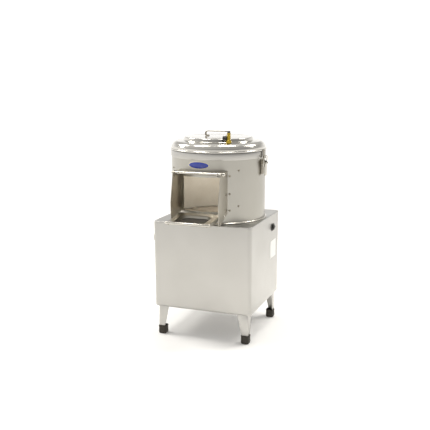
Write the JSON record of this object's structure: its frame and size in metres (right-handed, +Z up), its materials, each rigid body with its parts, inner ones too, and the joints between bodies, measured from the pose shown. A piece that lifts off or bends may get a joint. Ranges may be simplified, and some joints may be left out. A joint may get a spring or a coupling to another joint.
{
  "type": "potato peeling machine",
  "caption": "Floor-standing potato peeling machine: lidded drum with a turning abrasive disc on a sheet metal cabinet, with a discharge chute and a hinged door.",
  "frame": {"origin": "on the floor under the middle of the whole object's box", "axes": "+Z up, -Y towards the side that the chute opens to, +X to that side's right"},
  "size_m": [0.4326, 0.5702, 0.8344],
  "materials": {
    "brushed_stainless": "brushed",
    "polished_stainless": "polished stainless steel",
    "abrasive_coating": "rough bonded grit",
    "black_rubber": "matt",
    "black_plastic": "satin",
    "grey_plastic": "satin",
    "brass": "machined",
    "cast_aluminium": "cast and turned",
    "machined_steel": "ground",
    "blue_enamel": "gloss",
    "grey_motor_paint": "semi-gloss"
  },
  "bodies": {
    "cabinet": {"cabinet_shell": "brushed_stainless", "cabinet_top": "brushed_stainless", "base_plate": "brushed_stainless", "rear_panel": "brushed_stainless", "leg_front_left": "brushed_stainless", "leg_front_right": "brushed_stainless", "leg_rear_left": "brushed_stainless", "leg_rear_right": "brushed_stainless", "drum_shell": "brushed_stainless", "drum_collar": "brushed_stainless", "chute_cheek_left": "brushed_stainless", "chute_cheek_right": "brushed_stainless", "chute_canopy": "brushed_stainless", "latch_base_left": "brushed_stainless", "latch_base_right": "brushed_stainless", "waste_pan": "brushed_stainless", "motor_bracket": "brushed_stainless", "drum_base_ring": "polished_stainless", "chute_tie_rod": "polished_stainless", "tie_rod_nut_left": "polished_stainless", "tie_rod_nut_right": "polished_stainless", "drum_liner": "abrasive_coating", "foot_front_left": "black_rubber", "foot_front_right": "black_rubber", "foot_rear_left": "black_rubber", "foot_rear_right": "black_rubber", "shaft_seal": "black_rubber", "drive_belt": "black_rubber", "cable_gland": "black_plastic", "switch_box": "black_plastic", "switch_bezel": "black_plastic", "drain_pipe": "grey_plastic", "bearing_housing": "cast_aluminium", "door_hinge_pin": "machined_steel", "upper_bearing": "machined_steel", "lower_bearing": "machined_steel", "badge_plate": "blue_enamel", "motor_body": "grey_motor_paint"},
    "lid": {"lid_pan": "polished_stainless", "lid_handle": "polished_stainless", "lid_gasket": "black_rubber", "lid_catch_left": "brushed_stainless", "lid_catch_right": "brushed_stainless", "water_inlet_body": "brass", "inlet_union": "black_plastic", "spray_nozzle": "brass"},
    "tap": {"tap_lever": "grey_plastic"},
    "door": {"door_panel": "brushed_stainless", "door_pad": "black_rubber", "door_handle_rod": "polished_stainless"},
    "lever_left": {"latch_lever_left": "brushed_stainless"},
    "lever_right": {"latch_lever_right": "brushed_stainless"},
    "loop_left": {"latch_loop_left": "polished_stainless"},
    "loop_right": {"latch_loop_right": "polished_stainless"},
    "disc": {"abrasive_disc": "abrasive_coating", "main_shaft": "machined_steel", "large_pulley": "cast_aluminium"},
    "motor_rotor": {"motor_shaft": "machined_steel", "motor_pulley": "cast_aluminium"},
    "switch": {"switch_knob": "black_plastic"}
  },
  "joints": [
    {"name": "lid_lift", "type": "slide", "parent": "cabinet", "child": "lid", "axis": [0, 0, 1], "range_m": [0, 0.25]},
    {"name": "tap_turn", "type": "hinge", "parent": "lid", "child": "tap", "pos_m": [0.09397, -0.08179, 0.83], "axis": [0, 0, 1], "range_deg": [0, 90]},
    {"name": "door_swing", "type": "hinge", "parent": "cabinet", "child": "door", "pos_m": [0.0017, -0.145, 0.513], "axis": [-1, 0, 0], "range_deg": [0, 93.5]},
    {"name": "disc_spin", "type": "hinge", "parent": "cabinet", "child": "disc", "pos_m": [0.0017, 0.055, 0.396], "axis": [0, 0, 1], "continuous": true},
    {"name": "motor_spin", "type": "hinge", "parent": "cabinet", "child": "motor_rotor", "pos_m": [0.0017, 0.173, 0.196], "axis": [0, 0, 1], "continuous": true},
    {"name": "switch_turn", "type": "hinge", "parent": "cabinet", "child": "switch", "pos_m": [0.207, 0.153, 0.421], "axis": [1, 0, 0], "range_deg": [0, 90]},
    {"name": "lever_left_throw", "type": "hinge", "parent": "cabinet", "child": "lever_left", "pos_m": [-0.20117, 0.09077, 0.703], "axis": [0.1736, 0.9848, 0], "range_deg": [0, 110]},
    {"name": "lever_right_throw", "type": "hinge", "parent": "cabinet", "child": "lever_right", "pos_m": [0.20692, 0.03705, 0.703], "axis": [-0.0872, -0.9962, 0], "range_deg": [0, 110]},
    {"name": "loop_left_swing", "type": "hinge", "parent": "lever_left", "child": "loop_left", "pos_m": [-0.19723, 0.09008, 0.689], "axis": [0.1736, 0.9848, 0], "range_deg": [-110, 0]},
    {"name": "loop_right_swing", "type": "hinge", "parent": "lever_right", "child": "loop_right", "pos_m": [0.20293, 0.03739, 0.689], "axis": [-0.0872, -0.9962, 0], "range_deg": [-110, 0]}
  ],
  "couplings": [
    {"joint": "motor_spin", "follows": "disc_spin", "ratio": 2.8},
    {"joint": "loop_left_swing", "follows": "lever_left_throw", "ratio": -1},
    {"joint": "loop_right_swing", "follows": "lever_right_throw", "ratio": -1}
  ]
}
